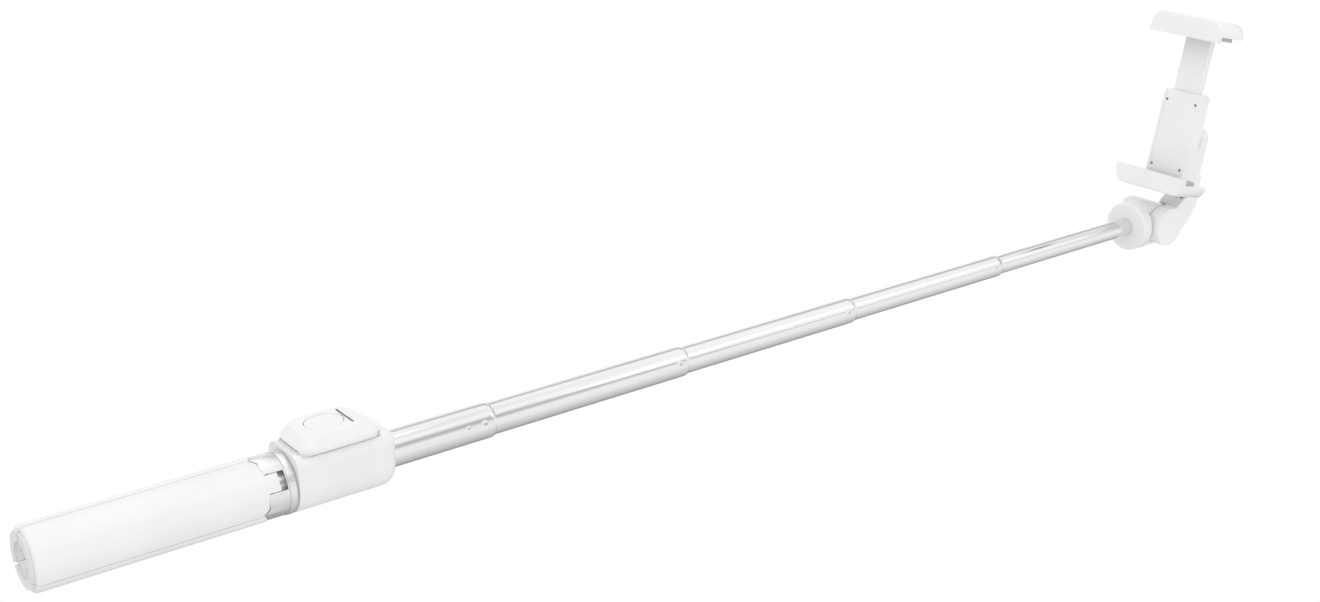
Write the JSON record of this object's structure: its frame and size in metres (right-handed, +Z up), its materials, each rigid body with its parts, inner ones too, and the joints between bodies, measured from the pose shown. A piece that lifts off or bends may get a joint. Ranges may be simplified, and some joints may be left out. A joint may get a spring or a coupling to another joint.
{
  "type": "selfie stick",
  "caption": "telescopic selfie stick with a three-leg tripod handle, lift-off shutter remote, tilting and swivelling phone clamp",
  "frame": {"origin": "centre of the round handle's free end, on the pole's axis", "axes": "+X along the pole towards the phone clamp, +Z up, normal to the remote's top, +Y to the left of +X"},
  "size_m": [0.6616, 0.046, 0.1297],
  "materials": {
    "white_gloss": "smooth white satin gloss",
    "remote_white": "smooth white satin gloss",
    "hub_metal": "satin grey",
    "pale_rubber": "matt pale grey",
    "pad_grey": "matt mid grey",
    "polished_steel": "polished",
    "sleeve_plastic": "natural",
    "pin_steel": "plain",
    "plate_metal": "satin",
    "dark_screw": "blackened",
    "board_green": "coated",
    "switch_dark": "plain",
    "light_lens": "dark translucent"
  },
  "bodies": {
    "grip": {"leg_hub": "hub_metal", "leg_pins": "pin_steel", "collar_ring": "hub_metal", "housing_shell": "white_gloss", "cradle_plate": "plate_metal", "cradle_screws": "dark_screw", "cradle_magnets": "pin_steel", "outer_tube": "polished_steel"},
    "leg_near_body": {"leg_near": "white_gloss", "foot_pad_near": "pale_rubber"},
    "leg_far_body": {"leg_far": "white_gloss", "foot_pad_far": "pale_rubber"},
    "leg_bottom_body": {"leg_bottom": "white_gloss", "foot_pad_bottom": "pale_rubber"},
    "section_2": {"tube_2": "polished_steel", "sleeve_2": "sleeve_plastic"},
    "section_3": {"tube_3": "polished_steel", "sleeve_3": "sleeve_plastic"},
    "section_4": {"tube_4": "polished_steel", "sleeve_4": "sleeve_plastic"},
    "section_5": {"tube_5": "polished_steel", "sleeve_5": "sleeve_plastic", "head_cap": "white_gloss", "tube_plug": "sleeve_plastic", "tilt_cover": "white_gloss"},
    "arm": {"tilt_arm": "white_gloss", "tilt_pin": "pin_steel", "tilt_washer": "sleeve_plastic", "tilt_spring_washer": "pin_steel", "tilt_nut": "pin_steel", "arm_plate": "plate_metal", "arm_screws": "dark_screw", "swivel_pin": "pin_steel", "swivel_screw": "pin_steel", "swivel_washer": "sleeve_plastic"},
    "clamp": {"clamp_housing": "white_gloss", "swivel_retainer": "sleeve_plastic", "clamp_cover": "white_gloss", "clamp_screws": "dark_screw", "lower_jaw_pad": "pad_grey"},
    "jaw": {"upper_jaw": "white_gloss", "upper_jaw_pad": "pad_grey", "clamp_spring": "pin_steel"},
    "remote": {"remote_cover": "remote_white", "remote_base": "remote_white", "remote_board": "board_green", "tact_switch": "switch_dark", "battery": "pin_steel", "light_window": "light_lens", "steel_plate": "pin_steel"},
    "button": {"shutter_button": "remote_white"}
  },
  "joints": [
    {"name": "leg_near_hinge", "type": "hinge", "parent": "grip", "child": "leg_near_body", "pos_m": [0.096, -0.00901, 0.0052], "axis": [0, 0.5, 0.866], "range_deg": [0, 70]},
    {"name": "leg_far_hinge", "type": "hinge", "parent": "grip", "child": "leg_far_body", "pos_m": [0.096, 0.00901, 0.0052], "axis": [0, 0.5, -0.866], "range_deg": [0, 70]},
    {"name": "leg_bottom_hinge", "type": "hinge", "parent": "grip", "child": "leg_bottom_body", "pos_m": [0.096, 0, -0.0104], "axis": [0, -1, 0], "range_deg": [0, 70]},
    {"name": "tube_2_slide", "type": "slide", "parent": "grip", "child": "section_2", "axis": [1, 0, 0], "range_m": [-0.102, 0]},
    {"name": "tube_3_slide", "type": "slide", "parent": "section_2", "child": "section_3", "axis": [1, 0, 0], "range_m": [-0.102, 0]},
    {"name": "tube_4_slide", "type": "slide", "parent": "section_3", "child": "section_4", "axis": [1, 0, 0], "range_m": [-0.102, 0]},
    {"name": "tube_5_slide", "type": "slide", "parent": "section_4", "child": "section_5", "axis": [1, 0, 0], "range_m": [-0.102, 0]},
    {"name": "tilt_hinge", "type": "hinge", "parent": "section_5", "child": "arm", "pos_m": [0.634, 0, 0], "axis": [0, 1, 0], "range_deg": [-20, 90]},
    {"name": "swivel_hinge", "type": "hinge", "parent": "arm", "child": "clamp", "pos_m": [0.64941, -0.0095, 0.04722], "axis": [0.9724, 0, -0.2334], "range_deg": [-90, 90]},
    {"name": "jaw_slide", "type": "slide", "parent": "clamp", "child": "jaw", "axis": [0.2334, 0, 0.9724], "range_m": [-0.0202, 0.0088]},
    {"name": "remote_lift", "type": "slide", "parent": "grip", "child": "remote", "axis": [0, 0, 1], "range_m": [0, 0.02]},
    {"name": "shutter_press", "type": "slide", "parent": "remote", "child": "button", "axis": [0, 0, -1], "range_m": [0, 0.0005], "stiffness_N_per_m": 1000}
  ]
}
